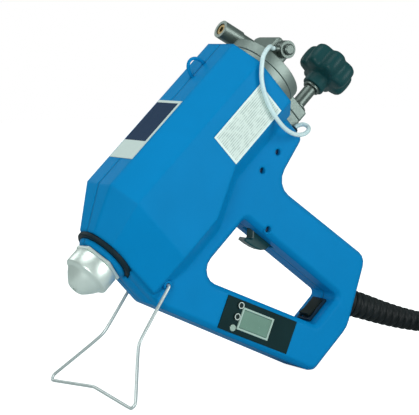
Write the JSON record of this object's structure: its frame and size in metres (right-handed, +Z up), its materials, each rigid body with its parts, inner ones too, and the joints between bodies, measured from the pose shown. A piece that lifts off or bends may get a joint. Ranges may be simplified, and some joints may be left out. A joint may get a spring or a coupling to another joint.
{
  "type": "hot-melt glue applicator",
  "caption": "Hand-held hot-melt tank applicator with D handle, trigger, display panel, clamped lid, wire stand and ribbed supply hose.",
  "frame": {"origin": "on the table, under the centre of the tool's bounding box measured without its supply hose", "axes": "+Z up, +X from the nozzle side towards the clamp knob and the hose, +Y away from the side with the display"},
  "size_m": [0.5447, 0.2386, 0.318],
  "materials": {
    "casing": "satin",
    "rubber": "matte",
    "plastic": "satin",
    "aluminium": "turned",
    "cast": "cast",
    "steel": "bright",
    "brass": "bright",
    "tube": "translucent",
    "label": "printed",
    "panel": "gloss",
    "display": "gloss",
    "board": "satin",
    "wool": "woven",
    "lens": "gloss"
  },
  "bodies": {
    "gun": {"housing_left": "casing", "housing_right": "casing", "housing_screw_1": "steel", "housing_screw_2": "steel", "nose_ring": "rubber", "nozzle": "aluminium", "nozzle_holder": "steel", "needle_spring": "steel", "tank": "cast", "heater_bands": "steel", "insulation_sleeve": "wool", "temperature_sensor": "steel", "safety_thermostat": "plastic", "tank_flange": "cast", "lid_seal": "rubber", "air_tube": "tube", "tube_gland": "plastic", "trigger_pin": "steel", "air_valve_body": "aluminium", "trigger_spring": "steel", "air_feed_hose": "tube", "air_inlet_hose": "tube", "wire_loom": "rubber", "terminal_block": "plastic", "display_plate": "panel", "display_frame": "plastic", "display_glass": "display", "status_lens": "lens", "circuit_board": "board", "switch_bezel": "plastic", "switch_body": "plastic", "hanging_eye": "casing", "instruction_label": "label", "front_label": "label", "bend_relief": "rubber", "supply_hose": "rubber", "supply_hose_coil": "rubber", "hose_connector": "plastic"},
    "lid": {"tank_lid": "cast", "valve_block": "cast", "relief_valve": "cast", "relief_valve_seat": "brass", "air_fitting": "steel"},
    "clamp_washer": {"thrust_washer": "steel"},
    "clamp_knob": {"star_knob": "plastic", "clamp_spindle": "steel", "spindle_collar": "steel"},
    "trigger": {"trigger": "plastic"},
    "plunger": {"valve_plunger": "steel"},
    "needle": {"shutoff_needle": "steel"},
    "stand": {"stand_wire": "steel", "stand_bush_left": "casing", "stand_bush_right": "casing"},
    "rocker": {"switch_rocker": "plastic"},
    "button_up": {"button_up": "plastic"},
    "button_down": {"button_down": "plastic"},
    "connector_ring": {"connector_ring": "plastic"}
  },
  "joints": [
    {"name": "lid_swing", "type": "hinge", "parent": "gun", "child": "lid", "pos_m": [0.07778, 0, 0.23307], "axis": [0.732, 0, 0.6813], "range_deg": [0, 80], "deforming": ["air_tube"]},
    {"name": "knob_lift", "type": "slide", "parent": "gun", "child": "clamp_washer", "axis": [0.732, 0, 0.6813], "range_m": [0, 0.0035]},
    {"name": "knob_turn", "type": "hinge", "parent": "clamp_washer", "child": "clamp_knob", "pos_m": [0.11292, 0, 0.26577], "axis": [0.732, 0, 0.6813], "range_deg": [0, 720]},
    {"name": "trigger_pull", "type": "hinge", "parent": "gun", "child": "trigger", "pos_m": [0.03917, 0, 0.13292], "axis": [0, -1, 0], "range_deg": [0, 9], "stiffness_Nm_per_rad": 1.2, "springref_deg": -5.73, "deforming": ["trigger_spring"]},
    {"name": "plunger_push", "type": "slide", "parent": "gun", "child": "plunger", "axis": [0.732, 0, 0.6813], "range_m": [0, 0.0033]},
    {"name": "needle_lift", "type": "slide", "parent": "gun", "child": "needle", "axis": [0.732, 0, 0.6813], "range_m": [0, 0.0031], "deforming": ["needle_spring"]},
    {"name": "stand_fold", "type": "hinge", "parent": "gun", "child": "stand", "pos_m": [-0.06826, 0, 0.09276], "axis": [0, -1, 0], "range_deg": [0, 80]},
    {"name": "rocker_tilt", "type": "hinge", "parent": "gun", "child": "rocker", "pos_m": [0.10362, 0, 0.05193], "axis": [0, -1, 0], "range_deg": [0, 18]},
    {"name": "button_up_press", "type": "slide", "parent": "gun", "child": "button_up", "axis": [0, 1, 0], "range_m": [0, 0.0005], "stiffness_N_per_m": 1500, "springref_m": -0.0005},
    {"name": "button_down_press", "type": "slide", "parent": "gun", "child": "button_down", "axis": [0, 1, 0], "range_m": [0, 0.0005], "stiffness_N_per_m": 1500, "springref_m": -0.0005},
    {"name": "connector_ring_turn", "type": "hinge", "parent": "gun", "child": "connector_ring", "pos_m": [0.27092, -0.15304, 0.0415], "axis": [-0.9823, 0.1874, 0], "range_deg": [0, 90]}
  ],
  "couplings": [
    {"joint": "knob_lift", "follows": "knob_turn", "m_per_rad": 0.00027852},
    {"joint": "plunger_push", "follows": "trigger_pull", "m_per_rad": 0.0197},
    {"joint": "needle_lift", "follows": "trigger_pull", "m_per_rad": 0.019}
  ]
}
